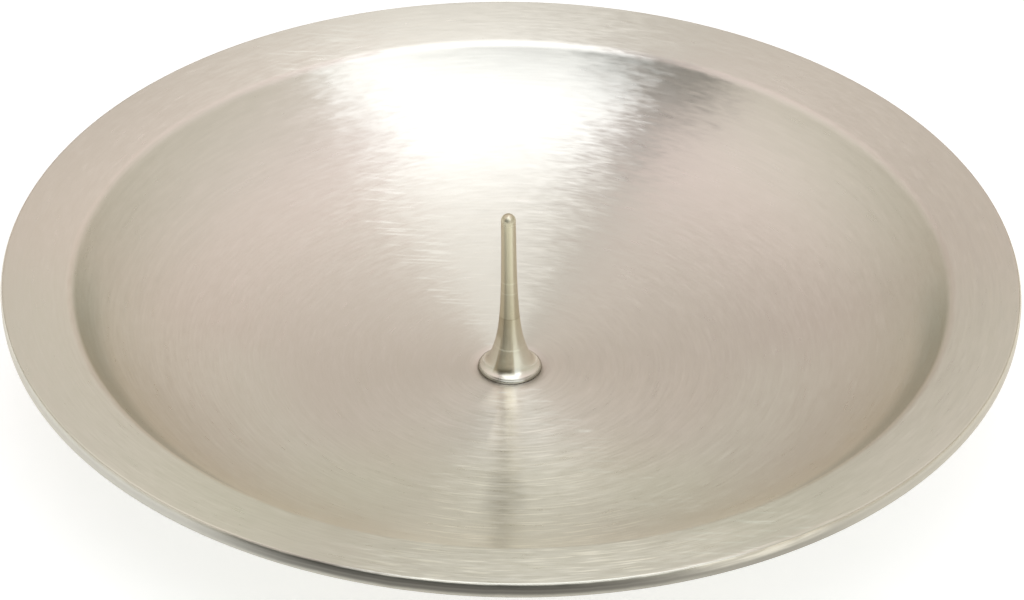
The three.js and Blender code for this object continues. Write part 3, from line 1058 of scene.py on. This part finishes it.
# %% The bright panel and the strip behind
PANEL_STOPS = [
    (0.03, (0.42, 0.405, 0.37)), (0.10, (0.575, 0.56, 0.53)), (0.20, (0.68, 0.675, 0.67)),
    (0.36, (0.90, 0.94, 0.98)), (0.60, (0.86, 0.895, 0.93)), (0.68, (0.76, 0.785, 0.80)),
    (0.76, (0.45, 0.47, 0.46)),
]
PANEL_TIP = math.cos(VIEW_ELEVATION)
ahead = maths(tree, "SUBTRACT", PANEL_TIP, to_back)
reach = maths(tree, "SQRT", total(tree, (to_right, to_right), (ahead, ahead)))
fan = product(tree, maths(tree, "ARCTAN2", to_right, ahead), 180 / math.pi)
panel = vectors(tree, "SCALE", ramp(tree, product(tree, reach, 0.5), PANEL_STOPS), scale=2.0)
right_edge = total(
    tree,
    (spread(tree, reach, 0.15, 0.7, 41.0, 22.5), 1.0), (spread(tree, reach, 0.9, 1.25, 0.0, 7.5), 1.0),
)
right_blur = spread(tree, reach, 0.15, 1.0, 18.0, 5.0)
inside_right = fade(tree, fan, right_edge, maths(tree, "SUBTRACT", right_edge, right_blur))
left_edge = total(
    tree,
    (spread(tree, reach, 0.15, 0.6, -6.0, -14.5), 1.0), (spread(tree, reach, 0.7, 1.1, 0.0, -5.0), 1.0),
)
left_blur = spread(tree, reach, 0.15, 1.0, 8.0, 3.0)
inside_left = fade(tree, fan, left_edge, maths(tree, "ADD", left_edge, left_blur))
in_panel = product(tree, inside_left, inside_right, fade(tree, to_up, 0.1, 0.4))
light = blend_colours(tree, in_panel, tent, panel)
print(f"{world.name}: {len(tree.nodes)} nodes with the panel")

# %% [markdown]
# The dark gap lies left of the panel's left edge, in the same angles. Soft round spots, given
# by their direction and size, then brighten or dim a few places of the studio, and four more
# darken its open front.

# %% The dark gap and the open front
DARK = (0.10, 0.112, 0.097, 1)
LIGHT_SPOTS = [  # turn, rise, inner and outer half width, strength
    (275, 55, 4, 34, 0.10), (14, 56, 2, 24, 0.10), (0, 45, 2, 14, 0.06), (4, 27, 2, 10, 0.16),
    (346, 41, 2, 13, -0.15), (335, 20, 4, 26, -0.14), (2, 16, 4, 26, -0.16), (358, 40, 2, 9, -0.20),
    (140, 42, 4, 16, 0.30),
]
OPEN_FRONT = [(208, 18, 9, 22), (186, 14, 10, 26), (185, 29, 7, 17), (230, 12, 6, 18)]
OPEN_STRENGTH = 0.9
far_left = spread(tree, reach, 1.0, 1.3, -23.5, -33.0)
near_left = maths(tree, "ADD", left_edge, spread(tree, reach, 1.15, 1.4, -0.5, 11.0))
gap = product(
    tree,
    fade(tree, fan, far_left, maths(tree, "ADD", far_left, 3.0)),
    fade(tree, fan, near_left, maths(tree, "SUBTRACT", near_left, 1.5)),
    fade(tree, reach, 0.2, 0.6, 0.0, 0.85),
)


def spot(turn, rise, inner, outer):
    """How far a direction is inside a round spot: the spot's turn clockwise from the back, its
    rise and two half widths, all in degrees."""
    turn, rise = math.radians(turn), math.radians(rise)
    centre = (math.sin(turn) * math.cos(rise), math.cos(turn) * math.cos(rise), math.sin(rise))
    nearness = vectors(tree, "DOT_PRODUCT", direction, centre)
    return fade(tree, nearness, math.cos(math.radians(outer)), math.cos(math.radians(inner)))


glow = total(tree, (1.0, 1.0), *((spot(*place), strength) for *place, strength in LIGHT_SPOTS))
light = vectors(tree, "SCALE", light, scale=glow)
dark = gap
for place in OPEN_FRONT:
    dark = maths(tree, "MAXIMUM", dark, product(tree, spot(*place), OPEN_STRENGTH))
light = blend_colours(tree, dark, light, DARK)
seen = tree.nodes.new("ShaderNodeLightPath").outputs["Is Camera Ray"]
tree.links.new(blend_colours(tree, seen, light, WHITE), background.inputs["Color"])
print(f"{world.name}: {len(tree.nodes)} nodes in all")

# %% [markdown]
# The Standard view shows colours as they are written.

# %% The view
bpy.context.scene.view_settings.view_transform = "Standard"
